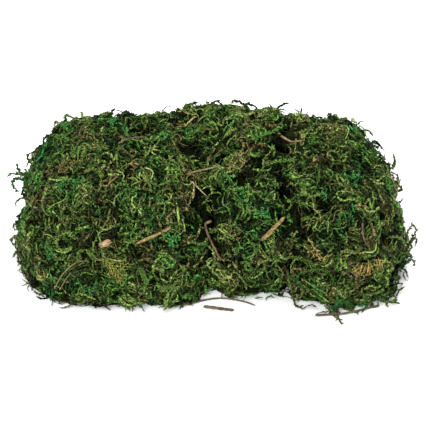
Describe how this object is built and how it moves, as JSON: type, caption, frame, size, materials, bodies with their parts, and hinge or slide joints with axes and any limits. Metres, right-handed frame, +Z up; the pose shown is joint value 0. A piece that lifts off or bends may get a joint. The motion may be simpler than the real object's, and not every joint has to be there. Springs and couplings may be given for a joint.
{
  "type": "moss clump",
  "caption": "Loaf-shaped clump of dried green sheet moss: tangled wads pressed together, with bark, twigs and straw caught in them. Rests on its flat underside.",
  "frame": {"origin": "centre of the clump's box, on the surface that it rests on", "axes": "+X along the clump's length, towards its smaller right wad; -Y towards the front; +Z up"},
  "size_m": [0.2568, 0.148, 0.0882],
  "materials": {
    "moss": "dried and dyed green moss, matte, fibrous",
    "twig": "bare brown twig, matte",
    "straw": "dry straw, slightly glossy",
    "blade": "dry grass blade, matte",
    "bark": "split inner bark, matte"
  },
  "bodies": {
    "root": {"left_wad": "moss", "middle_wad": "moss", "right_wad": "moss", "back_wad": "moss", "bent_twig": "twig", "top_twig": "twig", "corner_twig": "twig", "stub_twig": "twig", "curved_stem": "twig", "curved_stem_2": "twig", "dark_stem": "twig", "top_needle": "twig", "front_twig": "twig", "long_twig": "twig", "pale_straw": "straw", "flat_straw": "straw", "green_blade": "blade", "bark_sliver": "bark", "bark_chip": "bark", "bark_crumb": "bark", "bark_strip": "bark"}
  },
  "joints": []
}
